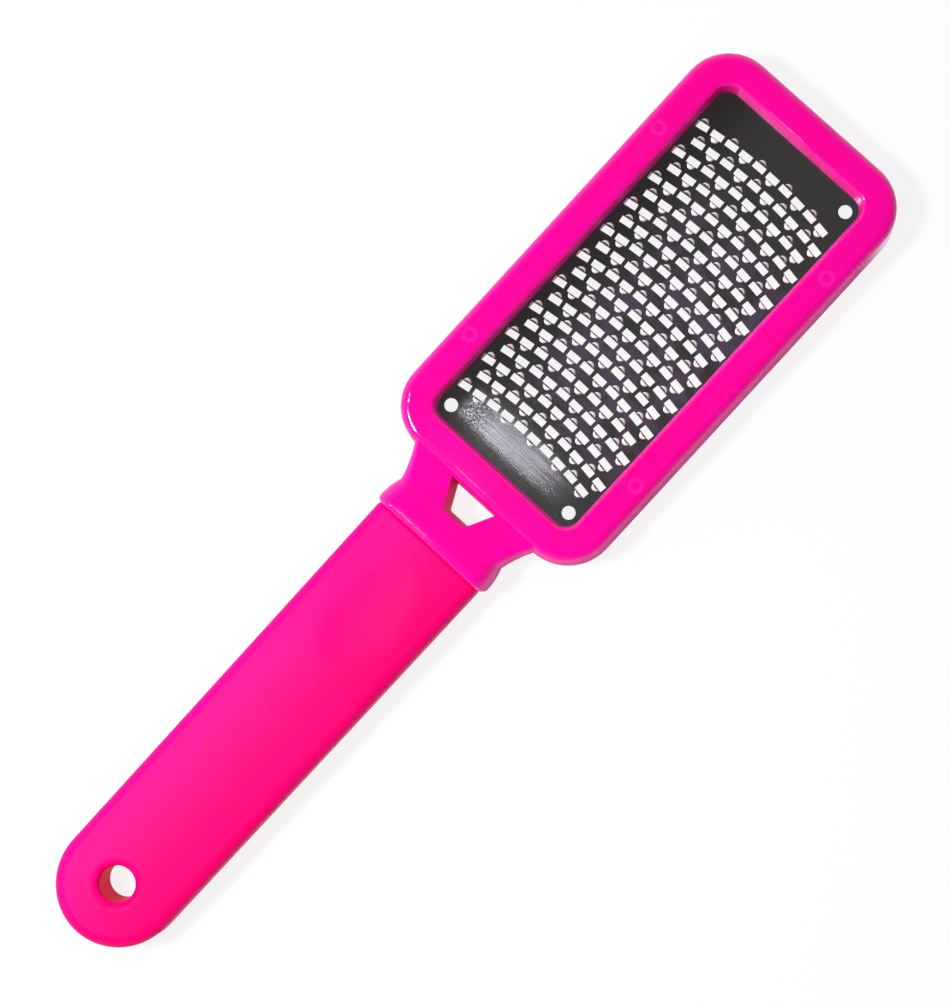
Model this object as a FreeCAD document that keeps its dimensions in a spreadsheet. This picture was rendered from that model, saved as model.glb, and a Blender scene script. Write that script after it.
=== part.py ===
import FreeCAD, Part
import math
import os

import Sketcher

# Foot file lying on its back: +Y runs along the handle to the tip of the head, +X is to the right,
# +Z is up out of the rasp. The origin is under the middle of the tool, on the surface it lies on.
# All sizes are millimetres.

SIZES = {
    # Head
    "window_width": 45.1,
    "window_length": 104.5,
    "window_corner": 4.2,
    "window_flare": 0.7,
    "window_rim_round": 0.9,
    "border": 7.7,
    "head_height": 14.0,
    "head_corner": 11.8,
    "head_flare": 0.7,
    "head_edge_round": 2.2,
    "recess_depth": 5.0,
    "skirt": 2.4,
    # Rasp plate
    "plate_thickness": 0.5,
    "plate_lap": 1.6,
    "plate_hole_radius": 1.64,
    "plate_hole_inset_across": 3.65,
    "plate_hole_inset_along": 4.3,
    "column_pitch": 2.069,
    "tooth_pitch": 8.3,
    "tooth_side_margin": 2.6,
    "tooth_end_margin": 9.5,
    "row_bow_radius": 114.0,
    "slot_width": 3.2,
    "slot_length": 1.7,
    "hood_width": 2.1,
    "hood_reach": 1.15,
    "hood_rise": 1.05,
    "hood_wall": 0.35,
    # Rear frame
    "frame_gap": 0.15,
    "peg_radius": 1.3,
    "peg_height": 3.0,
    "peg_gap": 0.05,
    "peg_spacing": 65.5,
    "rear_edge_round": 0.8,
    # Neck and collar
    "neck_length": 15.3,
    "neck_drop": 0.5,
    "neck_root_width": 41.0,
    "neck_mid_width": 33.6,
    "neck_corner": 1.6,
    "waist_width": 31.1,
    "waist_height": 14.6,
    "waist_corner": 3.0,
    "shoulder_length": 3.9,
    "collar_length": 3.4,
    "collar_width": 33.0,
    "collar_height": 15.4,
    "collar_corner": 4.0,
    "collar_end_round": 1.2,
    "opening_wide": 14.2,
    "opening_narrow": 6.6,
    "opening_length": 6.8,
    "opening_corner": 0.9,
    # Grip and tang
    "grip_length": 123.4,
    "grip_width": 31.3,
    "grip_end_draw": 0.55,
    "grip_height": 15.0,
    "grip_crown": 1.4,
    "grip_edge_round": 3.0,
    "grip_mouth_round": 0.7,
    "tang_width": 19.0,
    "tang_height": 8.0,
    "tang_length": 94.0,
    "tang_gap": 0.1,
    "hang_hole_radius": 4.3,
    "hang_rim_round": 2.0,
    "dish_from_collar": 21.2,
    "dish_depth": 0.8,
    "dish_radius_across": 80.0,
    "dish_radius_along": 135.0,
    "dish_rim_round": 20.0,
}


class Size:
    """A length that knows its value and the sheet expression that it comes from."""

    def __init__(self, text, value):
        self.text = text
        self.value = value

    @staticmethod
    def of(other):
        return other if isinstance(other, Size) else Size(repr(float(other)), float(other))

    def __add__(self, other):
        other = Size.of(other)
        return Size(f"({self.text} + {other.text})", self.value + other.value)

    def __sub__(self, other):
        other = Size.of(other)
        return Size(f"({self.text} - {other.text})", self.value - other.value)

    def __mul__(self, other):
        other = Size.of(other)
        return Size(f"({self.text} * {other.text})", self.value * other.value)

    def __truediv__(self, other):
        other = Size.of(other)
        return Size(f"({self.text} / {other.text})", self.value / other.value)

    def __neg__(self):
        return self * -1

    def lean_over(self, depth):
        """Wall angle, in degrees, that moves by this size over the depth."""
        return Size(f"atan({self.text} / {depth.text})", math.degrees(math.atan2(self.value, depth.value)))


doc = FreeCAD.newDocument("foot_file")
sheet = doc.addObject("Spreadsheet::Sheet", "sizes")
for row, (name, value) in enumerate(SIZES.items(), start=1):
    sheet.set(f"A{row}", name)
    sheet.set(f"B{row}", str(value))
    sheet.setAlias(f"B{row}", name)
doc.recompute()


def size(name):
    return Size(f"sizes.{name}", float(sheet.get(name)))


zero = Size.of(0)

# Levels and stations that several pieces share
head_top_width = size("window_width") + size("border") * 2
head_top_length = size("window_length") + size("border") * 2
head_width = head_top_width + size("head_flare") * 2
head_length = head_top_length + size("head_flare") * 2
tip_y = (head_length + size("neck_length") + size("grip_length")) / 2
head_mid_y = tip_y - head_length / 2
head_start_y = tip_y - head_length
grip_start_y = head_start_y - size("neck_length")
grip_end_y = grip_start_y - size("grip_length")
lip_level = size("head_height") - size("recess_depth")
cavity_width = head_width - size("skirt") * 2
cavity_length = head_length - size("skirt") * 2
cavity_corner = size("head_corner") - size("skirt")
rear_window_width = size("window_width") - size("window_flare") * 2
rear_window_length = size("window_length") - size("window_flare") * 2
plate_width = size("window_width") + size("plate_lap") * 2
plate_length = size("window_length") + size("plate_lap") * 2
plate_corner = size("window_corner") + size("plate_lap")
peg_x = (size("window_width") + size("border")) / 2
peg_y = [head_mid_y - size("peg_spacing") / 2, head_mid_y + size("peg_spacing") / 2]
peg_centres = [(x, y) for x in (-peg_x, peg_x) for y in peg_y]
grip_mid_level = size("grip_height") / 2
grip_end_radius = size("grip_width") / 2 - size("grip_end_draw")
end_centre_y = grip_end_y + grip_end_radius
draft = size("head_flare").lean_over(size("head_height"))


def bind(item, prop, amount):
    """Ties a property to its sheet expression."""
    item.setExpression(prop, amount.text)


def origin_plane(body, role):
    return next(plane for plane in body.Origin.OriginFeatures if plane.Role == role)


def new_body(name):
    body = doc.addObject("PartDesign::Body", name)
    body.Label = name
    return body


def new_sketch(body, name, role, level=None):
    sketch = body.newObject("Sketcher::SketchObject", name)
    sketch.AttachmentSupport = (origin_plane(body, role), [""])
    sketch.MapMode = "FlatFace"
    if level is not None:
        bind(sketch, "AttachmentOffset.Base.z", level)
    return sketch


def hold(sketch, kind, *reference, amount):
    """Adds a dimension to a sketch and ties it to the sheet."""
    index = sketch.addConstraint(Sketcher.Constraint(kind, *reference, amount.value))
    bind(sketch, f"Constraints[{index}]", amount)


def hold_point(sketch, geometry, end, x, y):
    """Fixes one end of a sketch line by its distances from the sketch origin."""
    for kind, axis, amount in (("DistanceX", -2, x), ("DistanceY", -1, y)):
        if amount is zero:
            sketch.addConstraint(Sketcher.Constraint("PointOnObject", geometry, end, axis))
        else:
            hold(sketch, kind, -1, 1, geometry, end, amount=amount)


def polygon(body, name, role, corners, level=None):
    """Closed outline through corners that are all tied to the sheet."""
    sketch = new_sketch(body, name, role, level)
    points = [FreeCAD.Vector(x.value, y.value, 0) for x, y in corners]
    count = len(points)
    for i in range(count):
        sketch.addGeometry(Part.LineSegment(points[i], points[(i + 1) % count]), False)
    for i in range(count):
        sketch.addConstraint(Sketcher.Constraint("Coincident", i, 2, (i + 1) % count, 1))
    for i, (x, y) in enumerate(corners):
        hold_point(sketch, i, 1, x, y)
    return sketch


def outline(body, name, role, corners, level=None):
    """Closed outline with sides along the axes, counterclockwise, each corner given with its own rounding."""
    sketch = new_sketch(body, name, role, level)
    count = len(corners)
    joints = []
    bulges = {}
    for i, (x, y, radius) in enumerate(corners):
        if radius is None:
            joints.append((x, y))
            continue
        back = heading(corners[i], corners[i - 1])
        ahead = heading(corners[i], corners[(i + 1) % count])
        bulges[len(joints)] = radius, [(1 - math.sqrt(0.5)) * (m + n) for m, n in zip(back, ahead)], (x, y)
        joints += [(x + radius * m, y + radius * n) for m, n in (back, ahead)]
    points = [FreeCAD.Vector(x.value, y.value, 0) for x, y in joints]
    total = len(joints)
    for i in range(total):
        stop = points[(i + 1) % total]
        if i in bulges:
            radius, step, (x, y) = bulges[i]
            bulge = FreeCAD.Vector(x.value + radius.value * step[0], y.value + radius.value * step[1], 0)
            sketch.addGeometry(Part.Arc(points[i], bulge, stop), False)
            hold(sketch, "Radius", i, amount=radius)
        else:
            sketch.addGeometry(Part.LineSegment(points[i], stop), False)
    for i, (x, y) in enumerate(joints):
        sketch.addConstraint(Sketcher.Constraint("Coincident", i, 2, (i + 1) % total, 1))
        hold_point(sketch, i, 1, x, y)
    return sketch


def heading(start, stop):
    """Unit step along an axis from one corner to another."""
    return [(b.value > a.value) - (b.value < a.value) for a, b in zip(start[:2], stop[:2])]


def head_outline(body, name, width, length, corner, level=None):
    """Rounded rectangle round the middle of the head."""
    x = width / 2
    low = head_mid_y - length / 2
    high = head_mid_y + length / 2
    corners = [(-x, low, corner), (x, low, corner), (x, high, corner), (-x, high, corner)]
    return outline(body, name, "XY_Plane", corners, level)


def arch_section(body, name, station, half, height, corner):
    """Upright section at a station: flat foot, straight sides and two rounded upper corners."""
    corners = [(-half, zero, None), (half, zero, None), (half, height, corner), (-half, height, corner)]
    return outline(body, name, "XZ_Plane", corners, -station)


def tang_outline(body, name, gap):
    """Section of the tang, or of its socket when a gap is added, on the face where grip meets collar."""
    x = size("tang_width") / 2 + gap
    low = grip_mid_level - size("tang_height") / 2 - gap
    high = grip_mid_level + size("tang_height") / 2 + gap
    corners = [(-x, low, None), (x, low, None), (x, high, None), (-x, high, None)]
    return outline(body, name, "XZ_Plane", corners, -grip_start_y)


def circles(body, name, role, centres, radius, level=None):
    sketch = new_sketch(body, name, role, level)
    up = FreeCAD.Vector(0, 0, 1)
    for x, y in centres:
        middle = FreeCAD.Vector(x.value, y.value, 0)
        index = sketch.addGeometry(Part.Circle(middle, up, radius.value), False)
        hold_point(sketch, index, 3, x, y)
        hold(sketch, "Radius", index, amount=radius)
    return sketch


def grip_outline(body, name):
    """Plan of the grip: straight front, two sides that draw in a little, and a round end that they touch."""
    half = size("grip_width") / 2
    front = [FreeCAD.Vector(x, grip_start_y.value, 0) for x in (half.value, -half.value)]
    ends = [FreeCAD.Vector(x, end_centre_y.value, 0) for x in (-grip_end_radius.value, grip_end_radius.value)]
    sketch = new_sketch(body, name, "XY_Plane")
    sketch.addGeometry(Part.LineSegment(front[0], front[1]), False)
    sketch.addGeometry(Part.LineSegment(front[1], ends[0]), False)
    sketch.addGeometry(Part.Arc(ends[0], FreeCAD.Vector(0, grip_end_y.value, 0), ends[1]), False)
    sketch.addGeometry(Part.LineSegment(ends[1], front[0]), False)
    sketch.addConstraint(Sketcher.Constraint("Coincident", 0, 2, 1, 1))
    sketch.addConstraint(Sketcher.Constraint("Tangent", 1, 2, 2, 1))
    sketch.addConstraint(Sketcher.Constraint("Tangent", 2, 2, 3, 1))
    sketch.addConstraint(Sketcher.Constraint("Coincident", 3, 2, 0, 1))
    hold_point(sketch, 0, 1, half, grip_start_y)
    hold_point(sketch, 0, 2, -half, grip_start_y)
    hold_point(sketch, 2, 3, zero, end_centre_y)
    hold(sketch, "Radius", 2, amount=grip_end_radius)
    return sketch


def crown_outline(body, name, half, level, drop, side):
    """Region past a shallow arch that peaks at the level and falls by the drop at half the width."""
    reach = half + drop
    radius = (half * half + drop * drop) / (drop * 2)
    middle = level - radius * side
    roof = level + drop * side
    spread = math.sqrt(radius.value ** 2 - reach.value ** 2) * side
    ends = [FreeCAD.Vector(x * side, middle.value + spread, 0) for x in (reach.value, -reach.value)]
    tops = [FreeCAD.Vector(x * side, roof.value, 0) for x in (-reach.value, reach.value)]
    peak = FreeCAD.Vector(0, level.value, 0)
    sketch = new_sketch(body, name, "XZ_Plane")
    sketch.addGeometry(Part.Arc(ends[0], peak, ends[1]), False)
    sketch.addGeometry(Part.LineSegment(ends[1], tops[0]), False)
    sketch.addGeometry(Part.LineSegment(tops[0], tops[1]), False)
    sketch.addGeometry(Part.LineSegment(tops[1], ends[0]), False)
    for i in range(4):
        sketch.addConstraint(Sketcher.Constraint("Coincident", i, 2, (i + 1) % 4, 1))
    sketch.addConstraint(Sketcher.Constraint("PointOnObject", 0, 3, -2))
    hold(sketch, "DistanceY", -1, 1, 0, 3, amount=middle)
    hold(sketch, "Radius", 0, amount=radius)
    hold(sketch, "DistanceX", -1, 1, 0, 1, amount=reach * side)
    hold(sketch, "DistanceX", -1, 1, 0, 2, amount=reach * -side)
    hold_point(sketch, 2, 1, reach * -side, roof)
    hold_point(sketch, 2, 2, reach * side, roof)
    return sketch


def finished(feature):
    """Recomputes the document and stops on a feature that failed."""
    doc.recompute()
    if "Invalid" in feature.State or feature.Shape.isNull() or not feature.Shape.isValid():
        raise RuntimeError(f"{feature.Name} failed: {feature.State} {feature.getStatusString()}")
    return feature


def loft(body, sections, name):
    feature = body.newObject("PartDesign::AdditiveLoft", name)
    feature.Profile = sections[0]
    feature.Sections = sections[1:]
    return finished(feature)


def pad(body, sketch, name, length, lean=None, back=False):
    feature = body.newObject("PartDesign::Pad", name)
    feature.Profile = sketch
    bind(feature, "Length", length)
    if lean is not None:
        bind(feature, "TaperAngle", lean)
    feature.Reversed = back
    return finished(feature)


def pocket(body, sketch, name, length=None, lean=None, back=False):
    """Cuts to a depth, or right through both ways when no depth is given."""
    feature = body.newObject("PartDesign::Pocket", name)
    feature.Profile = sketch
    before = feature.BaseFeature.Shape.Volume
    if length is None:
        feature.SideType = "Symmetric"
        feature.Type = "ThroughAll"
    else:
        bind(feature, "Length", length)
    if lean is not None:
        bind(feature, "TaperAngle", lean)
    feature.Reversed = back
    finished(feature)
    if feature.Shape.Volume >= before:
        raise RuntimeError(f"{name} cuts nothing")
    return feature


def fillet(body, base, name, radius, wanted):
    """Rounds every edge of the base feature that the test accepts."""
    names = [f"Edge{i}" for i, edge in enumerate(base.Shape.Edges, start=1) if wanted(edge)]
    if not names:
        raise RuntimeError(f"{name} finds no edge")
    feature = body.newObject("PartDesign::Fillet", name)
    feature.Base = (base, names)
    bind(feature, "Radius", radius)
    return finished(feature)


def dish_outline(body, name):
    """Half of a spindle whose belly, turned about the line under it, hollows the grip's top for the thumb."""
    across = size("dish_radius_across")
    along = size("dish_radius_along")
    middle = across - along
    tip = math.sqrt(along.value ** 2 - middle.value ** 2)
    ends = [FreeCAD.Vector(x, 0, 0) for x in (tip, -tip)]
    sketch = new_sketch(body, name, "YZ_Plane")
    bind(sketch, "AttachmentOffset.Base.x", dish_y)
    bind(sketch, "AttachmentOffset.Base.y", dish_axis_level)
    sketch.addGeometry(Part.Arc(ends[0], FreeCAD.Vector(0, across.value, 0), ends[1]), False)
    sketch.addGeometry(Part.LineSegment(ends[1], ends[0]), False)
    for i in (0, 1):
        sketch.addConstraint(Sketcher.Constraint("Coincident", i, 2, 1 - i, 1))
        sketch.addConstraint(Sketcher.Constraint("PointOnObject", i, 1, -1))
    sketch.addConstraint(Sketcher.Constraint("PointOnObject", 0, 3, -2))
    hold(sketch, "DistanceY", -1, 1, 0, 3, amount=middle)
    hold(sketch, "Radius", 0, amount=along)
    return sketch


def groove(body, sketch, name):
    """Cuts the sketch turned once round its own horizontal axis."""
    feature = body.newObject("PartDesign::Groove", name)
    feature.Profile = sketch
    feature.ReferenceAxis = (sketch, ["H_Axis"])
    feature.Angle = 360
    return finished(feature)


def near(a, b, slack=0.01):
    return abs(a - b) < slack


def lies_at_level(edge, level):
    return all(near(point.z, level.value) for point in edge.discretize(5))


def lies_at_station(edge, station):
    return all(near(point.y, station.value) for point in edge.discretize(5))


def is_opening_corner(edge):
    """True for the two leaning edges at the narrow end of the neck opening."""
    points = edge.discretize(5)
    upright = abs(points[0].z - points[-1].z) > size("head_height").value / 2
    first = opening_start_y.value - opening_drift.value
    last = opening_start_y.value + opening_drift.value * 2
    inside = all(first < point.y < last and abs(point.x) < half_wide.value for point in points)
    return upright and inside


def is_window_rim(edge):
    limit = (size("window_width") / 2).value + 0.01
    inside = all(abs(point.x) < limit for point in edge.discretize(5))
    return inside and lies_at_level(edge, size("head_height"))


def is_grip_edge(edge):
    """True for the long edges where the grip's sides meet its top and its back."""
    points = edge.discretize(5)
    lying = abs(points[0].z - points[-1].z) < size("grip_crown").value * 2
    return lying and not lies_at_station(edge, grip_start_y)


def is_hang_rim(edge):
    """True for the two rims of the hang hole."""
    reach = size("hang_hole_radius").value
    spans = [math.hypot(point.x, point.y - end_centre_y.value) for point in edge.discretize(5)]
    return len(edge.Vertexes) < 2 and all(near(span, reach) for span in spans)


def is_dish_rim(edge):
    """True for the edges where the thumb dish runs out on the grip's top."""
    along = size("dish_radius_along").value
    middle = size("dish_radius_across").value - along
    for point in edge.discretize(5):
        step = point.y - dish_y.value
        if abs(step) > along:
            return False
        belly = middle + math.sqrt(along ** 2 - step ** 2)
        if not near(math.hypot(point.x, point.z - dish_axis_level.value), belly):
            return False
    return True


# Front frame: head block, with the neck and collar grown from its rear side

frame = new_body("front_frame")
head_plan = head_outline(frame, "head_plan", head_top_width, head_top_length, size("head_corner"),
                         size("head_height"))
part = pad(frame, head_plan, "head_block", size("head_height"), draft, back=True)
part = fillet(frame, part, "head_edge", size("head_edge_round"),
              lambda edge: lies_at_level(edge, size("head_height")))

shoulder_y = grip_start_y + size("collar_length")
waist_y = shoulder_y + size("shoulder_length")
mid_y = (waist_y + head_start_y) / 2
root_y = head_start_y + size("head_flare") + size("head_edge_round")
neck_level = size("head_height") - size("neck_drop")
mid_level = (neck_level + size("waist_height")) / 2
mid_corner = (size("neck_corner") + size("waist_corner")) / 2
stations = {
    "neck_root": (root_y, size("neck_root_width"), neck_level, size("neck_corner")),
    "neck_mid": (mid_y, size("neck_mid_width"), mid_level, mid_corner),
    "neck_waist": (waist_y, size("waist_width"), size("waist_height"), size("waist_corner")),
    "collar_shoulder": (shoulder_y, size("collar_width"), size("collar_height"), size("collar_corner")),
    "collar_end": (grip_start_y, size("collar_width"), size("collar_height"), size("collar_corner")),
}
root, mid, waist, shoulder, end = [
    arch_section(frame, name, station, width / 2, height, corner)
    for name, (station, width, height, corner) in stations.items()
]
part = loft(frame, [root, mid, waist], "neck")
part = loft(frame, [waist, shoulder, end], "collar")
part = fillet(frame, part, "collar_end_edge", size("collar_end_round"),
              lambda edge: lies_at_station(edge, grip_start_y) and not lies_at_level(edge, zero))

# Front frame: opening between the two arms of the neck, closed by the rear side of the head

half_wide = size("opening_wide") / 2
half_narrow = size("opening_narrow") / 2
opening_start_y = head_start_y - size("opening_length")
opening_drift = size("head_flare") * size("collar_height") / size("head_height")
opening_end_y = head_start_y + opening_drift
opening = polygon(frame, "neck_opening", "XY_Plane", [
    (-half_narrow, opening_start_y),
    (half_narrow, opening_start_y),
    (half_wide, opening_end_y),
    (-half_wide, opening_end_y),
], size("collar_height"))
part = pocket(frame, opening, "neck_opening_cut", size("collar_height"), -draft)
part = fillet(frame, part, "neck_opening_corners", size("opening_corner"), is_opening_corner)

# Front frame: hollow for the rear frame, window with a rounded rim, and sockets for the pegs

cavity = head_outline(frame, "rear_cavity", cavity_width, cavity_length, cavity_corner)
part = pocket(frame, cavity, "rear_cavity_cut", lip_level, back=True)
window = head_outline(frame, "window", size("window_width"), size("window_length"), size("window_corner"),
                      size("head_height"))
part = pocket(frame, window, "window_cut", size("recess_depth"),
              -size("window_flare").lean_over(size("recess_depth")))
part = fillet(frame, part, "window_rim", size("window_rim_round"), is_window_rim)
socket_radius = size("peg_radius") + size("peg_gap")
sockets = circles(frame, "peg_sockets", "XY_Plane", peg_centres, socket_radius, lip_level)
part = pocket(frame, sockets, "peg_sockets_cut", size("peg_height") + size("peg_gap"), back=True)

# Front frame: tang inside the grip

part = pad(frame, tang_outline(frame, "tang_section", zero), "tang", size("tang_length"))

# Rear frame: ring that clamps the plate's rim, with four pegs

ring = new_body("rear_frame")
ring_plan = head_outline(ring, "ring_plan", cavity_width - size("frame_gap") * 2,
                         cavity_length - size("frame_gap") * 2, cavity_corner - size("frame_gap"))
part = pad(ring, ring_plan, "ring_block", lip_level)
rear_window = head_outline(ring, "rear_window", rear_window_width, rear_window_length, size("window_corner"))
part = pocket(ring, rear_window, "rear_window_cut")
part = fillet(ring, part, "ring_back_edges", size("rear_edge_round"), lambda edge: lies_at_level(edge, zero))
rebate = head_outline(ring, "plate_rebate", plate_width + size("frame_gap") * 2,
                      plate_length + size("frame_gap") * 2, plate_corner + size("frame_gap"), lip_level)
part = pocket(ring, rebate, "plate_rebate_cut", size("plate_thickness"))
pegs = circles(ring, "peg_plan", "XY_Plane", peg_centres, size("peg_radius"), lip_level)
part = pad(ring, pegs, "pegs", size("peg_height"))

# Grip: soft sleeve with a round end, crowned faces, thumb dish and hang hole

grip = new_body("grip")
part = pad(grip, grip_outline(grip, "grip_plan"), "grip_block", size("grip_height"))
for face, level, side in (("top", size("grip_height"), 1), ("back", zero, -1)):
    crown = crown_outline(grip, f"{face}_crown", size("grip_width") / 2, level, size("grip_crown"), side)
    part = pocket(grip, crown, f"{face}_crown_cut")
part = fillet(grip, part, "grip_edges", size("grip_edge_round"), is_grip_edge)
part = fillet(grip, part, "grip_mouth", size("grip_mouth_round"),
              lambda edge: lies_at_station(edge, grip_start_y))
hang_hole = circles(grip, "hang_hole", "XY_Plane", [(zero, end_centre_y)], size("hang_hole_radius"))
part = pocket(grip, hang_hole, "hang_hole_cut")
part = fillet(grip, part, "hang_hole_rims", size("hang_rim_round"), is_hang_rim)
socket = tang_outline(grip, "tang_socket", size("tang_gap"))
part = pocket(grip, socket, "tang_socket_cut", size("tang_length") + size("tang_gap"), back=True)
dish_y = grip_start_y - size("dish_from_collar")
dish_axis_level = size("grip_height") - size("dish_depth") + size("dish_radius_across")
part = groove(grip, dish_outline(grip, "dish_section"), "thumb_dish")
part = fillet(grip, part, "dish_rim", size("dish_rim_round"), is_dish_rim)


# Rasp plate: sheet with bowed rows of punched teeth, each a slot with a hood raised behind its cutting edge

HOOD_FACETS = 4


def at_level(points, level):
    return [FreeCAD.Vector(x, y, level) for x, y in points]


def closed(points):
    return Part.makePolygon(points + points[:1])


def rim_wire(level):
    """Outline of the plate at a level, with rounded corners."""
    radius = plate_corner.value
    inner_x = plate_width.value / 2 - radius
    inner_y = plate_length.value / 2 - radius
    edges = []
    last = FreeCAD.Vector(inner_x, -inner_y - radius, level)
    for quarter, (x, y) in enumerate([(1, -1), (1, 1), (-1, 1), (-1, -1)]):
        angles = [math.radians(90 * (quarter + step) - 90) for step in (0, 0.5, 1)]
        spots = [(x * inner_x + radius * math.cos(a), y * inner_y + radius * math.sin(a)) for a in angles]
        first, middle, stop = at_level(spots, level)
        if quarter:
            edges.append(Part.makeLine(last, first))
        edges.append(Part.Arc(first, middle, stop).toShape())
        last = stop
    edges.append(Part.makeLine(last, FreeCAD.Vector(inner_x, -inner_y - radius, level)))
    return Part.Wire(edges)


def tooth_places():
    """Middle of each slot, the tilt of its row there, and whether its hood points to the tip."""
    pitch = size("column_pitch").value
    step = size("tooth_pitch").value
    bow = size("row_bow_radius").value
    columns = int((size("window_width") - size("tooth_side_margin") * 2).value / pitch) + 1
    rows = int((size("window_length") - size("tooth_end_margin") * 2).value / step) + 1
    half_sag = (pitch * (columns - 1) / 2) ** 2 / (4 * bow)
    for column in range(columns):
        x = (column - (columns - 1) / 2) * pitch
        count = rows - column % 2
        for row in range(count):
            y = (row - (count - 1) / 2) * step + half_sag - x * x / (2 * bow)
            yield x, y, math.atan(-x / bow), column // 2 % 2 == 0


def arch(half, rise, reach):
    """Half ellipse as points across the tooth, with how far each one stands up and how far it runs back."""
    angles = [math.pi * i / HOOD_FACETS for i in range(HOOD_FACETS + 1)]
    return [(half * math.cos(a), rise * math.sin(a), reach * math.sin(a)) for a in angles]


def tooth_faces(place):
    """Faces of one tooth, and the outlines of its holes in the plate's top and back."""
    x, y, tilt, to_tip = place
    turn = tilt if to_tip else tilt + math.pi
    thick = size("plate_thickness").value
    half_slot = size("slot_width").value / 2
    edge = size("slot_length").value / 2
    half = size("hood_width").value / 2
    rise = size("hood_rise").value
    reach = size("hood_reach").value
    wall = size("hood_wall").value

    def spot(across, along, level):
        return FreeCAD.Vector(x + across * math.cos(turn) - along * math.sin(turn),
                              y + across * math.sin(turn) + along * math.cos(turn), level)

    def tunnel(curve, foot):
        """Slanted faces from the arch at the cutting edge down to its foot on the sheet."""
        lips = [spot(across, edge, foot + up) for across, up, back in curve]
        feet = [spot(across, edge + back, foot) for across, up, back in curve]
        faces = []
        for i in range(HOOD_FACETS):
            corners = [lips[i], lips[i + 1], feet[i + 1], feet[i]]
            distinct = [c for k, c in enumerate(corners) if not c.isEqual(corners[k - 1], 1e-6)]
            faces.append(Part.Face(closed(distinct)))
        return faces, lips, feet

    hollow = thick + rise - wall
    outside, lips, feet = tunnel(arch(half, rise, reach), thick)
    inside, inner_lips, inner_feet = tunnel(arch(half - wall, hollow, hollow * reach / rise), 0)
    corners = [(half_slot, edge), (-half_slot, edge), (-half_slot, -edge), (half_slot, -edge)]
    top = [spot(across, along, thick) for across, along in corners]
    back = [spot(across, along, 0) for across, along in corners]
    mouth = [top[0]] + lips + [top[1], back[1]] + inner_lips[::-1] + [back[0]]
    walls = [Part.Face(closed([top[i], top[(i + 1) % 4], back[(i + 1) % 4], back[i]])) for i in (1, 2, 3)]
    faces = outside + inside + walls + [Part.Face(closed(mouth))]
    return faces, closed([top[0]] + feet + top[1:]), closed([back[0]] + inner_feet + back[1:])


def plate_solid():
    thick = size("plate_thickness").value
    rise = FreeCAD.Vector(0, 0, thick)
    hole_x = (size("window_width") / 2 - size("plate_hole_inset_across")).value
    hole_y = (size("window_length") / 2 - size("plate_hole_inset_along")).value
    backs = [rim_wire(0)]
    for centre in at_level([(-hole_x, -hole_y), (hole_x, -hole_y), (hole_x, hole_y)], 0):
        backs.append(Part.Wire(Part.makeCircle(size("plate_hole_radius").value, centre)))
    faces = [face for wire in backs for face in wire.extrude(rise).Faces]
    tops = [wire.translated(rise) for wire in backs]
    for place in tooth_places():
        tooth, top, back = tooth_faces(place)
        faces += tooth
        tops.append(top)
        backs.append(back)
    faces += [Part.makeFace(wires, "Part::FaceMakerBullseye") for wires in (tops, backs)]
    shell = Part.makeShell(faces)
    shell.sewShape()
    solid = Part.makeSolid(shell)
    if solid.Volume < 0:
        solid.reverse()
    return solid


plate = doc.addObject("Part::Feature", "rasp_plate")
plate.Label = "rasp_plate"
plate.Shape = plate_solid()
plate.Placement.Base = FreeCAD.Vector(0, head_mid_y.value, (lip_level - size("plate_thickness")).value)

# Hand-over: every object is sound, and each piece is written to its own file

doc.recompute()
for item in doc.Objects:
    if "Invalid" in item.State or "Error" in item.State:
        raise RuntimeError(f"{item.Label} did not recompute: {item.State}")
os.makedirs("parts", exist_ok=True)
for piece in (frame, plate, ring, grip):
    if piece.Shape.isNull() or not piece.Shape.isValid() or len(piece.Shape.Solids) != 1:
        raise RuntimeError(f"{piece.Label} is not one sound solid")
    piece.Shape.exportStep(f"parts/{piece.Label}.step")
    print(piece.Label, round(piece.Shape.Volume), "mm3")
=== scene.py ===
import math

import bmesh
import bpy
from mathutils import Matrix, Vector, geometry


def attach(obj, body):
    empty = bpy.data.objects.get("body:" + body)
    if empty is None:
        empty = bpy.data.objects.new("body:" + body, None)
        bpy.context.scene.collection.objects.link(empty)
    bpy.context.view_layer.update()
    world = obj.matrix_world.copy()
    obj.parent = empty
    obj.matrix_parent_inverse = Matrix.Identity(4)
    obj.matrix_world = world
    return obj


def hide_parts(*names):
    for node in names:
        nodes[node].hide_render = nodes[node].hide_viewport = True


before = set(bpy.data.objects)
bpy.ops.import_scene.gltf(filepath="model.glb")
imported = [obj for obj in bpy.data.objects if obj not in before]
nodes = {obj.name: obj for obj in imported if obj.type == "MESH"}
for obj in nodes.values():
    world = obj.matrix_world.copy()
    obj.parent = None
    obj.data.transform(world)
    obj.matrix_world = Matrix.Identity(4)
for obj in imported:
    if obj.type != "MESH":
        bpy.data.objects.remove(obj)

mm = 0.001  # the frame is in metres, sizes below are in millimetres
headMiddle = 69.35  # middle of the head along the tool
scene = bpy.context.scene
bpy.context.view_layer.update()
print("frame loaded:", ", ".join(sorted(nodes)))


# Small helpers for node trees

def addNode(tree, kind, inputs=None, **settings):
    node = tree.nodes.new(kind)
    for name, value in settings.items():
        setattr(node, name, value)
    for name, value in (inputs or {}).items():
        setInput(tree, node.inputs[name], value)
    return node


def setInput(tree, socket, value):
    if isinstance(value, bpy.types.NodeSocket):
        tree.links.new(value, socket)
    else:
        socket.default_value = value


def calc(tree, operation, first, second=0.0, third=0.0):
    node = addNode(tree, "ShaderNodeMath", operation=operation)
    for socket, value in zip(node.inputs, (first, second, third)):
        setInput(tree, socket, value)
    return node.outputs[0]


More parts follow.
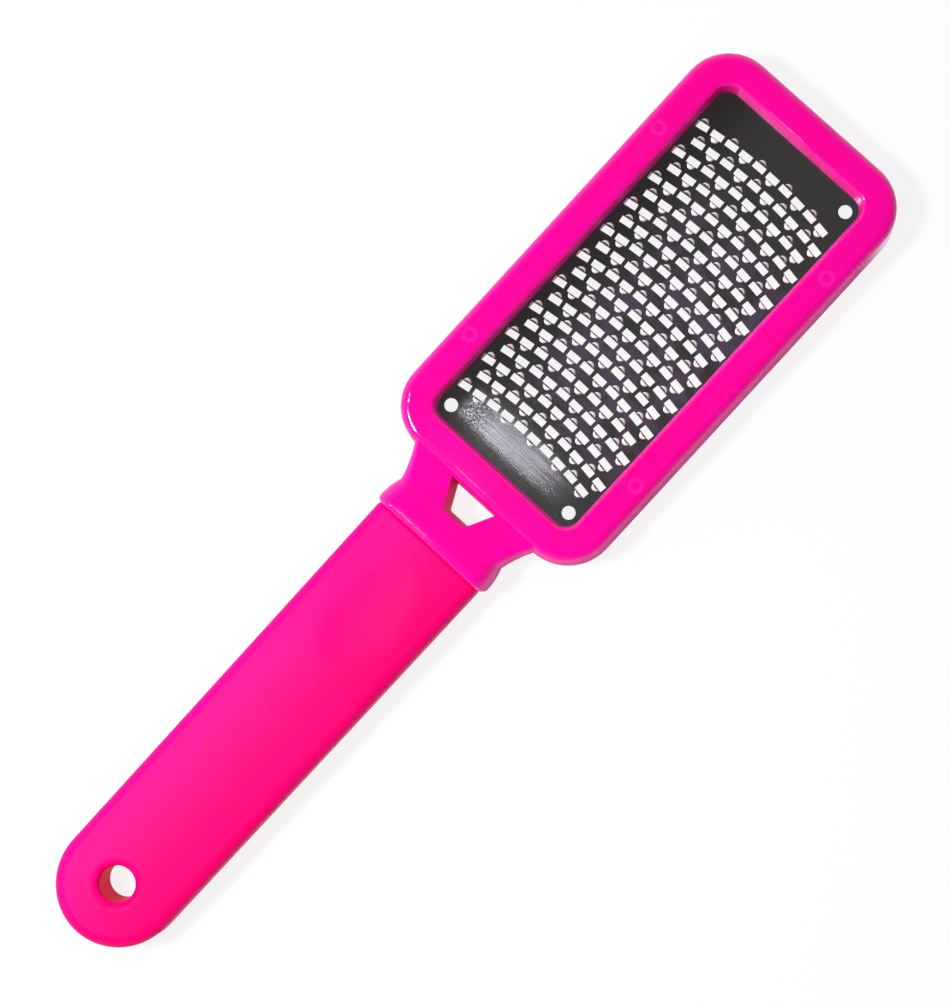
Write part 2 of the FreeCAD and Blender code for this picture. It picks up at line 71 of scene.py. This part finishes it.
def rescale(tree, value, low, high, toLow=0.0, toHigh=1.0):
    node = addNode(tree, "ShaderNodeMapRange", interpolation_type="SMOOTHSTEP")
    for socket, item in zip(node.inputs, (value, low, high, toLow, toHigh)):
        setInput(tree, socket, item)
    return node.outputs[0]


def span(tree, value, limits):
    rise = rescale(tree, value, limits[0], limits[1])
    fall = rescale(tree, value, limits[2], limits[3], 1.0, 0.0)
    return calc(tree, "MULTIPLY", rise, fall)


def blendColor(tree, factor, first, second):
    node = addNode(tree, "ShaderNodeMix", data_type="RGBA")
    setInput(tree, node.inputs[0], factor)
    setInput(tree, node.inputs[6], first)  # the colour sockets of a Mix node are 6 and 7 in, 2 out
    setInput(tree, node.inputs[7], second)
    return node.outputs[2]


def color(red, green, blue):
    return (red, green, blue, 1.0)


def placeInMm(tree):
    coords = addNode(tree, "ShaderNodeTexCoord")
    scaled = addNode(tree, "ShaderNodeVectorMath", {0: coords.outputs["Object"]}, operation="SCALE")
    scaled.inputs["Scale"].default_value = 1 / mm
    return scaled.outputs[0]


def newMaterial(name, **values):
    material = bpy.data.materials.new(name)
    material.use_nodes = True
    shader = material.node_tree.nodes["Principled BSDF"]
    for socketName, value in values.items():
        shader.inputs[socketName.replace("_", " ")].default_value = value
    return material, material.node_tree, shader


def giveMaterial(piece, *materials):
    if piece.data.materials:
        piece.data.materials.clear()
    for material in materials:
        piece.data.materials.append(material)


# Moulding grain: broad tone drift and a fine skin, used by both plastics

def buildMouldingGrain():
    group = bpy.data.node_groups.new("mouldingGrain", "ShaderNodeTree")
    for name in ("Drift Size", "Skin Size"):
        group.interface.new_socket(name, in_out="INPUT", socket_type="NodeSocketFloat")
    for name in ("Drift", "Skin"):
        group.interface.new_socket(name, in_out="OUTPUT", socket_type="NodeSocketFloat")
    inside = group.nodes.new("NodeGroupInput")
    outside = group.nodes.new("NodeGroupOutput")
    place = placeInMm(group)
    for name, detail in (("Drift", 2.0), ("Skin", 4.0)):
        scale = calc(group, "DIVIDE", 1.0, inside.outputs[name + " Size"])
        noise = addNode(group, "ShaderNodeTexNoise", {"Vector": place, "Scale": scale, "Detail": detail})
        group.links.new(noise.outputs["Fac"], outside.inputs[name])
    return group


mouldingGrain = buildMouldingGrain()


def useGrain(tree, driftSize, skinSize):
    node = addNode(tree, "ShaderNodeGroup", node_tree=mouldingGrain)
    node.inputs["Drift Size"].default_value = driftSize
    node.inputs["Skin Size"].default_value = skinSize
    return node.outputs["Drift"], node.outputs["Skin"]


# Frame: glossy hot pink moulding with four faint sink marks over the pegs, each ringed by a painted highlight
# in paler pink

framePlastic = {
    "pink": color(1.0, 0.0, 0.36),
    "deepPink": color(0.96, 0.0, 0.31),
    "roughness": 0.08,
    "wallRoughness": (0.65, 0.15),
    "tipWall": (108.0, 119.0),
    "wallSteepness": (0.15, 0.4),
    "depthShare": 0.35,
    "depth": 4.0,
    "depthByColor": (1.0, 0.15, 0.35),
    "ior": 1.46,
    "driftSize": 38.0,
    "driftRange": (0.35, 0.65),
    "skinSize": 2.4,
    "skinHeight": 0.004,
    "sinkPlace": (26.4, 32.75),
    "sinkRadius": (0.2, 1.7),
    "sinkDepth": 0.05,
    # painted highlight: a paler pink ring around each sink mark
    "sinkGlintRing": (0.9, 1.3, 1.6, 2.1),
    "sinkGlintPink": color(1.0, 0.035, 0.48),
    "sinkGlintShare": 0.3,
}


def sinkDistance(tree, look):
    split = addNode(tree, "ShaderNodeSeparateXYZ", {0: placeInMm(tree)})
    fromHead = calc(tree, "SUBTRACT", split.outputs["Y"], headMiddle)
    stepX = calc(tree, "SUBTRACT", calc(tree, "ABSOLUTE", split.outputs["X"]), look["sinkPlace"][0])
    stepY = calc(tree, "SUBTRACT", calc(tree, "ABSOLUTE", fromHead), look["sinkPlace"][1])
    squares = calc(tree, "ADD", calc(tree, "MULTIPLY", stepX, stepX), calc(tree, "MULTIPLY", stepY, stepY))
    return calc(tree, "SQRT", squares)


def satinWalls(tree, look):  # polished on top and at the tip, satin on the other steep walls
    coords = addNode(tree, "ShaderNodeTexCoord")
    split = addNode(tree, "ShaderNodeSeparateXYZ", {0: coords.outputs["Normal"]})
    upright = calc(tree, "ABSOLUTE", split.outputs["Z"])
    place = addNode(tree, "ShaderNodeSeparateXYZ", {0: placeInMm(tree)})
    wall = rescale(tree, place.outputs["Y"], *look["tipWall"], *look["wallRoughness"])
    return rescale(tree, upright, *look["wallSteepness"], wall, look["roughness"])


def makeFramePlastic():
    look = framePlastic
    material, tree, shader = newMaterial("framePlastic", IOR=look["ior"],
                                         Subsurface_Weight=look["depthShare"],
                                         Subsurface_Scale=look["depth"] * mm,
                                         Subsurface_Radius=look["depthByColor"])
    drift, skin = useGrain(tree, look["driftSize"], look["skinSize"])
    shade = rescale(tree, drift, *look["driftRange"])
    tone = blendColor(tree, shade, look["pink"], look["deepPink"])
    fromSink = sinkDistance(tree, look)
    # painted highlight: a paler pink ring around each sink mark
    edge = calc(tree, "MULTIPLY", span(tree, fromSink, look["sinkGlintRing"]), look["sinkGlintShare"])
    setInput(tree, shader.inputs["Base Color"], blendColor(tree, edge, tone, look["sinkGlintPink"]))
    setInput(tree, shader.inputs["Roughness"], satinWalls(tree, look))
    skinBump = addNode(tree, "ShaderNodeBump", {"Height": skin, "Distance": look["skinHeight"] * mm})
    hollow = rescale(tree, fromSink, *look["sinkRadius"])
    sinkBump = addNode(tree, "ShaderNodeBump", {"Height": hollow, "Distance": look["sinkDepth"] * mm,
                                                "Normal": skinBump.outputs["Normal"]})
    setInput(tree, shader.inputs["Normal"], sinkBump.outputs["Normal"])
    return material


# Grip: soft matte sleeve, redder towards its right side, which is painted shade

gripRubber = {
    "pink": color(1.0, 0.0, 0.25),
    # the redder pink serves both the random tone patches and the painted shade on the right side
    "redPinkToneAndShade": color(0.98, 0.0, 0.16),
    "roughness": 0.5,
    "gloss": 0.05,
    "driftSize": 30.0,
    "driftRange": (0.3, 0.7),
    "driftShare": 0.3,
    "skinSize": 0.35,
    "skinHeight": 0.02,
    "paintedShadeAcross": (-13.0, 9.0),
}


def makeGripRubber():
    look = gripRubber
    material, tree, shader = newMaterial("gripRubber", Roughness=look["roughness"],
                                         Specular_IOR_Level=look["gloss"])
    drift, skin = useGrain(tree, look["driftSize"], look["skinSize"])
    split = addNode(tree, "ShaderNodeSeparateXYZ", {0: placeInMm(tree)})
    # painted shade: the colour turns redder from left to right across the grip
    across = rescale(tree, split.outputs["X"], *look["paintedShadeAcross"])
    patchy = rescale(tree, drift, *look["driftRange"])
    shade = calc(tree, "MULTIPLY_ADD", patchy, look["driftShare"],
                 calc(tree, "MULTIPLY", across, 1 - look["driftShare"]))
    setInput(tree, shader.inputs["Base Color"], blendColor(tree, shade, look["pink"], look["redPinkToneAndShade"]))
    bump = addNode(tree, "ShaderNodeBump", {"Height": skin, "Distance": look["skinHeight"] * mm})
    setInput(tree, shader.inputs["Normal"], bump.outputs["Normal"])
    return material


# Rasp plate: bright stamped sheet with rows of hooded teeth, worn at its handle end, with painted shade on
# its left side and a painted violet sheen

plateSteel = {
    "steel": color(0.52, 0.49, 0.49),
    # painted shade: darker steel towards the left side
    "shadedSteel": color(0.3, 0.26, 0.26),
    # painted sheen: violet clouds over the middle and right of the plate
    "paintedSheen": color(0.95, 0.68, 1.0),
    "worn": color(0.46, 0.46, 0.55),
    "paintedShadeSide": (-23.0, -4.0),
    "violetSize": 6.0,
    "violetRange": (0.38, 0.58),
    "violetAcross": (-19.0, -4.0),
    "violetAlong": (26.0, 44.0, 84.0, 104.0),
    "roughness": 0.09,
    "wornRoughness": 0.36,
    "wornAlong": (18.5, 22.5, 25.5, 33.0),
    "wornAcross": (-19.5, -15.0, 4.0, 24.0),
    "lines": {"length": 70.0, "width": 0.16, "turn": 0.0, "range": (0.3, 0.7, 0.3, 0.8)},
    "scratches": {"length": 26.0, "width": 0.2, "turn": 24.0, "range": (0.66, 0.74, 0.0, 0.35)},
    "speckSize": 0.35,
    "speckRange": (0.36, 0.64, 0.15, 0.7),
    "speckAcross": (-19.0, -16.0, -14.0, -7.0),
}


def fineLines(tree, look):
    turned = addNode(tree, "ShaderNodeVectorRotate", {"Vector": placeInMm(tree)}, rotation_type="Z_AXIS")
    turned.inputs["Angle"].default_value = math.radians(look["turn"])
    steps = addNode(tree, "ShaderNodeMapping", {"Vector": turned.outputs[0]})
    steps.inputs["Scale"].default_value = (1 / look["length"], 1 / look["width"], 1.0)
    noise = addNode(tree, "ShaderNodeTexNoise", {"Vector": steps.outputs[0], "Scale": 1.0, "Detail": 1.0})
    return rescale(tree, noise.outputs["Fac"], *look["range"])


def makePlateSteel():
    look = plateSteel
    material, tree, shader = newMaterial("plateSteel", Metallic=1.0)
    split = addNode(tree, "ShaderNodeSeparateXYZ", {0: placeInMm(tree)})
    lines = fineLines(tree, look["lines"])
    specks = addNode(tree, "ShaderNodeTexNoise", {"Vector": placeInMm(tree), "Scale": 1 / look["speckSize"]})
    bright = rescale(tree, specks.outputs["Fac"], *look["speckRange"])
    lines = calc(tree, "MULTIPLY_ADD", span(tree, split.outputs["X"], look["speckAcross"]),
                 calc(tree, "SUBTRACT", bright, lines), lines)  # specks take over at the left end
    rubbed = calc(tree, "MULTIPLY", span(tree, split.outputs["Y"], look["wornAlong"]),
                  span(tree, split.outputs["X"], look["wornAcross"]))
    worn = calc(tree, "MAXIMUM", calc(tree, "MULTIPLY", rubbed, lines), fineLines(tree, look["scratches"]))
    # painted sheen: violet clouds spread over the middle and right of the plate
    cloud = addNode(tree, "ShaderNodeTexNoise", {"Vector": placeInMm(tree), "Scale": 1 / look["violetSize"]})
    paintedSheen = calc(tree, "MULTIPLY", rescale(tree, cloud.outputs["Fac"], *look["violetRange"]),
                  rescale(tree, split.outputs["X"], *look["violetAcross"]))
    paintedSheen = calc(tree, "MULTIPLY", paintedSheen, span(tree, split.outputs["Y"], look["violetAlong"]))
    steelWithPaintedLight = blendColor(tree, paintedSheen, look["steel"], look["paintedSheen"])
    # painted shade: the steel darkens towards the plate's left side
    steelWithPaintedLight = blendColor(tree, rescale(tree, split.outputs["X"], *look["paintedShadeSide"]), look["shadedSteel"], steelWithPaintedLight)
    setInput(tree, shader.inputs["Base Color"], blendColor(tree, worn, steelWithPaintedLight, look["worn"]))
    roughness = rescale(tree, worn, 0.0, 1.0, look["roughness"], look["wornRoughness"])
    setInput(tree, shader.inputs["Roughness"], roughness)
    return material


sheetFinish, hoodGlintSlot, mouthShadeSlot = 0, 1, 2  # order of the plate's materials

toothSteel = {
    # painted highlight: the hoods' near-white stands in for the steel's bright reflection
    "paintedGlint": {"Base_Color": color(0.95, 0.92, 0.97), "Metallic": 0.0, "Roughness": 0.22},
    # painted shade: flat near-black faces where the hollow inside each hood lies in shade
    "paintedMouthShade": {"Base_Color": color(0.03, 0.025, 0.035), "Metallic": 0.0, "Roughness": 0.6},
}


def makeToothSteel():
    return [newMaterial(name + "Steel", **values)[0] for name, values in toothSteel.items()]


raspPlate = {
    "width": 48.3,
    "length": 107.7,
    "corner": 5.8,
    "bottom": 8.5,
    "thick": 0.5,
    "holeRadius": 1.64,
    "holePlaces": ((-18.9, -47.95), (18.9, -47.95), (18.9, 47.95)),
    "columns": 20,
    "rows": 11,
    "columnPitch": 2.069,
    "toothPitch": 8.3,
    "bowRadius": 114.0,
    "halfSlot": 1.6,
    "slotEdge": 0.85,
    "halfHood": 1.05,
    "hoodReach": 1.15,
    "hoodRise": 1.05,
    "hoodLean": 0.45,
    "hoodFullness": 0.5,
    "hoodCrowding": 1.6,
    "dimpleWall": 0.3,
    "dimpleRadius": 0.62,
    "dimpleReach": 0.38,
    "dimpleDepth": 0.95,
    "dimpleRings": (1.0, 0.75, 0.45, 0.15),
    "archSteps": 12,
    "hoodSteps": 5,
    "cornerSteps": 8,
    "holeSteps": 40,
    "joinDistance": 2e-4,
}


def toothPlaces(look):
    halfSag = (look["columnPitch"] * (look["columns"] - 1) / 2) ** 2 / (4 * look["bowRadius"])
    for column in range(look["columns"]):
        x = (column - (look["columns"] - 1) / 2) * look["columnPitch"]
        count = look["rows"] - column % 2
        for row in range(count):
            bow = halfSag - x * x / (2 * look["bowRadius"])
            y = (row - (count - 1) / 2) * look["toothPitch"] + bow
            turn = math.atan(-x / look["bowRadius"]) + (0 if column // 2 % 2 == 0 else math.pi)
            yield x, y, turn


def ring(x, y, radius, steps, start=0.0, sweep=2 * math.pi):
    angles = [start + sweep * i / steps for i in range(steps)]
    return [(x + radius * math.cos(a), y + radius * math.sin(a)) for a in angles]


def plateRim(look):
    points = []
    innerX = look["width"] / 2 - look["corner"]
    innerY = look["length"] / 2 - look["corner"]
    for quarter, (x, y) in enumerate(((1, 1), (-1, 1), (-1, -1), (1, -1))):
        points += ring(x * innerX, y * innerY, look["corner"], look["cornerSteps"], quarter * math.pi / 2,
                       math.pi / 2)
        points.append((x * innerX + look["corner"] * round(math.cos((quarter + 1) * math.pi / 2)),
                       y * innerY + look["corner"] * round(math.sin((quarter + 1) * math.pi / 2))))
    return points


def addFace(mesh, points, smooth=False, finish=sheetFinish):
    face = mesh.faces.new([mesh.verts.new(point) for point in points])
    face.smooth = smooth
    face.material_index = finish


def isInside(loop, x, y):
    inside = False
    for (x1, y1), (x2, y2) in zip(loop, loop[1:] + loop[:1]):
        if (y1 > y) != (y2 > y) and x < x1 + (y - y1) * (x2 - x1) / (y2 - y1):
            inside = not inside
    return inside


def addSheet(mesh, loops, level, up):
    points = [Vector(point) for loop in loops for point in loop]
    owners = [index for index, loop in enumerate(loops) for _ in loop]
    edges = []
    for loop in loops:
        first = len(edges)
        edges += [(first + i, first + (i + 1) % len(loop)) for i in range(len(loop))]
    spots, _, triangles, sources, _, _ = geometry.delaunay_2d_cdt(points, edges, [], 1, 1e-5)
    for corners in triangles:
        x = sum(spots[i].x for i in corners) / 3
        y = sum(spots[i].y for i in corners) / 3
        touched = {owners[sources[i][0]] for i in corners}
        if len(touched) == 1 and touched != {0} and isInside(loops[touched.pop()], x, y):
            continue
        order = corners if up else reversed(corners)
        addFace(mesh, [(spots[i].x, spots[i].y, level) for i in order])


def addWall(mesh, loop, low, high):
    for i in range(len(loop)):
        near, far = loop[i - 1], loop[i]
        addFace(mesh, [(*near, low), (*far, low), (*far, high), (*near, high)])


def addTooth(mesh, look, place):
    x, y, turn = place
    edge, thick, half = look["slotEdge"], look["thick"], look["halfHood"]
    bends = [math.pi * i / look["archSteps"] for i in range(look["archSteps"] + 1)]

    def spot(across, along):
        return (x + across * math.cos(turn) - along * math.sin(turn),
                y + across * math.sin(turn) + along * math.cos(turn))

    def hoodPoint(bend, part):
        along = look["hoodLean"] * math.sin(bend) * (1 - part) + look["hoodReach"] * math.sin(bend) * part
        left = max(0.0, 1 - math.cos(bend) ** 2 - (along / look["hoodReach"]) ** 2)
        level = thick + look["hoodRise"] * left ** look["hoodFullness"]
        return (*spot(half * math.cos(bend), edge + along), level)

    parts = [1 - (1 - j / look["hoodSteps"]) ** look["hoodCrowding"] for j in range(look["hoodSteps"] + 1)]
    grid = [[hoodPoint(bend, part) for part in parts] for bend in bends]
    for i in range(look["archSteps"]):
        for j in range(look["hoodSteps"]):
            # hood faces carry the painted highlight white
            addFace(mesh, [grid[i][j], grid[i][j + 1], grid[i + 1][j + 1], grid[i + 1][j]], True, hoodGlintSlot)
    slot = [spot(a, b) for a, b in ((look["halfSlot"], edge), (-look["halfSlot"], edge),
                                    (-look["halfSlot"], -edge), (look["halfSlot"], -edge))]
    upper = [(*slot[0], thick)] + [row[0] for row in grid] + [(*slot[1], thick)]
    lower = [slot[0]] + [spot(half * math.cos(bend), edge) for bend in bends] + [slot[1]]
    # painted shade: flat mouth faces stand in for the shaded hollow under the hood
    for i in range(len(upper) - 1):
        addFace(mesh, [upper[i], upper[i + 1], (*lower[i + 1], 0), (*lower[i], 0)], False, mouthShadeSlot)
    for i in (1, 2, 3):
        near, far = slot[i], slot[(i + 1) % 4]
        addFace(mesh, [(*near, thick), (*far, thick), (*far, 0), (*near, 0)])
    middle = edge + look["dimpleWall"] + look["dimpleReach"]
    rings = []
    for share in look["dimpleRings"]:
        spread = ring(0, 0, share, look["archSteps"])
        level = look["dimpleDepth"] * (1 - share ** 2) ** look["hoodFullness"]
        rings.append([(*spot(a * look["dimpleRadius"], middle + b * look["dimpleReach"]), level)
                      for a, b in spread])
    for outer, inner in zip(rings, rings[1:]):
        for i in range(look["archSteps"]):
            addFace(mesh, [outer[i - 1], outer[i], inner[i], inner[i - 1]], True)
    addFace(mesh, rings[-1], True)
    feet = [row[-1][:2] for row in grid]
    return [slot[0]] + feet + slot[1:], lower + slot[2:], [point[:2] for point in rings[0]]


def makeRaspPlate(look):
    mesh = bmesh.new()
    rim = plateRim(look)
    holes = [ring(x, y, look["holeRadius"], look["holeSteps"]) for x, y in look["holePlaces"]]
    tops, backs = [rim] + holes, [rim] + holes
    for loop in [rim] + holes:
        addWall(mesh, loop, 0, look["thick"])
    for place in toothPlaces(look):
        top, slot, dimple = addTooth(mesh, look, place)
        tops.append(top)
        backs += [slot, dimple]
    addSheet(mesh, tops, look["thick"], True)
    addSheet(mesh, backs, 0, False)
    bmesh.ops.remove_doubles(mesh, verts=mesh.verts, dist=look["joinDistance"])
    bmesh.ops.recalc_face_normals(mesh, faces=mesh.faces)
    for side in mesh.edges:
        side.smooth = len(side.link_faces) == 2 and all(face.smooth for face in side.link_faces)
    bmesh.ops.translate(mesh, verts=mesh.verts, vec=(0, headMiddle, look["bottom"]))
    bmesh.ops.scale(mesh, verts=mesh.verts, vec=(mm, mm, mm))
    data = bpy.data.meshes.new("raspPlate")
    mesh.to_mesh(data)
    mesh.free()
    piece = bpy.data.objects.new("raspPlate", data)
    scene.collection.objects.link(piece)
    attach(piece, "root")
    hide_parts("rasp_plate")
    print("rasp plate faces:", len(data.polygons))
    return piece


plastic = makeFramePlastic()
giveMaterial(nodes["front_frame"], plastic)
giveMaterial(nodes["rear_frame"], plastic)
giveMaterial(nodes["grip"], makeGripRubber())
giveMaterial(makeRaspPlate(raspPlate), makePlateSteel(), *makeToothSteel())
print("materials given")


# Floor: white table that keeps the tool's shadow

floorLook = {
    "size": 6.0,
    "gap": 0.02,
    "white": color(0.95, 0.95, 0.95),
    "seenShare": 0.86,
    "seenGlow": 1.0,
}


def makeFloor():
    bpy.ops.mesh.primitive_plane_add(size=floorLook["size"], location=(0, 0, -floorLook["gap"] * mm))
    floor = bpy.context.object
    floor.name = "floor"
    material = bpy.data.materials.new("whiteTable")
    material.use_nodes = True
    tree = material.node_tree
    tree.nodes.clear()
    path = addNode(tree, "ShaderNodeLightPath")
    seen = path.outputs["Is Camera Ray"]
    for ray in ("Is Glossy Ray", "Is Transmission Ray"):
        seen = calc(tree, "MAXIMUM", seen, path.outputs[ray])
    share = calc(tree, "MULTIPLY", seen, floorLook["seenShare"])
    matte = addNode(tree, "ShaderNodeBsdfDiffuse", {"Color": floorLook["white"]})
    glow = addNode(tree, "ShaderNodeEmission", {"Color": color(1, 1, 1), "Strength": floorLook["seenGlow"]})
    mix = addNode(tree, "ShaderNodeMixShader", {0: share})
    tree.links.new(matte.outputs[0], mix.inputs[1])
    tree.links.new(glow.outputs[0], mix.inputs[2])
    out = addNode(tree, "ShaderNodeOutputMaterial")
    tree.links.new(mix.outputs[0], out.inputs["Surface"])
    giveMaterial(floor, material)


makeFloor()


# Room: white low walls, dim upper walls and ceiling, less light from the right

room = {
    "wall": color(1.0, 1.0, 1.0),
    "upper": color(0.3, 0.3, 0.31),
    "ceiling": color(0.08, 0.078, 0.082),
    "wallTop": (0.3, 0.55),
    "ceilingStart": (0.75, 0.93),
    "rightSide": (0.0, 0.7),
    "rightShare": 0.35,
    "strength": 1.0,
}


def makeRoom():
    world = bpy.data.worlds.new("room")
    scene.world = world
    world.use_nodes = True
    tree = world.node_tree
    tree.nodes.clear()
    coords = addNode(tree, "ShaderNodeTexCoord")
    split = addNode(tree, "ShaderNodeSeparateXYZ", {0: coords.outputs["Generated"]})
    walls = blendColor(tree, rescale(tree, split.outputs["Z"], *room["wallTop"]), room["wall"], room["upper"])
    tint = blendColor(tree, rescale(tree, split.outputs["Z"], *room["ceilingStart"]), walls, room["ceiling"])
    shaded = rescale(tree, split.outputs["X"], *room["rightSide"], 1.0, room["rightShare"])
    strength = calc(tree, "MULTIPLY", shaded, room["strength"])
    lit = addNode(tree, "ShaderNodeBackground", {"Color": tint, "Strength": strength})
    out = addNode(tree, "ShaderNodeOutputWorld")
    tree.links.new(lit.outputs[0], out.inputs["Surface"])


makeRoom()


# Lamps: a soft one from the left over the handle and a narrow one that glints on the collar

lamps = {
    "keyLamp": {"place": (-190, -190, 580), "aim": (0, 10, 0), "size": (120, 120), "power": 4.0},
    "glintLamp": {"place": (-60, -65, 600), "aim": (-60, -65, 0), "size": (11, 110), "power": 0.09},
}


def makeLamp(name, look):
    data = bpy.data.lights.new(name, "AREA")
    data.shape = "ELLIPSE"
    data.size = look["size"][0] * mm
    data.size_y = look["size"][1] * mm
    data.energy = look["power"]
    lamp = bpy.data.objects.new(name, data)
    scene.collection.objects.link(lamp)
    place = Vector(look["place"]) * mm
    lamp.location = place
    lamp.rotation_euler = (Vector(look["aim"]) * mm - place).to_track_quat("-Z", "Y").to_euler()
    lamp.visible_camera = False


for lampName, look in lamps.items():
    makeLamp(lampName, look)


# Camera: above the tool and a little to its right, head towards the picture's upper right

view = {"place": (48.4, 20.8, 580.8), "aim": (0.7, 8.5, 9.0), "turn": 42.7, "lens": 92.04, "sensor": 36.0}


def makeCamera():
    data = bpy.data.cameras.new("camera")
    data.sensor_fit = "HORIZONTAL"
    data.sensor_width = view["sensor"]
    data.lens = view["lens"]
    data.clip_start = 0.01
    camera = bpy.data.objects.new("camera", data)
    scene.collection.objects.link(camera)
    place = Vector(view["place"]) * mm
    back = (place - Vector(view["aim"]) * mm).normalized()
    turn = math.radians(view["turn"])
    right = Vector((-math.sin(turn), math.cos(turn), 0)).cross(back).normalized()
    up = back.cross(right)
    axes = Matrix((right, up, back)).transposed()
    camera.matrix_world = Matrix.Translation(place) @ axes.to_4x4()
    scene.camera = camera


makeCamera()
scene.view_settings.view_transform = "Standard"
print("stage, lamps and camera set")
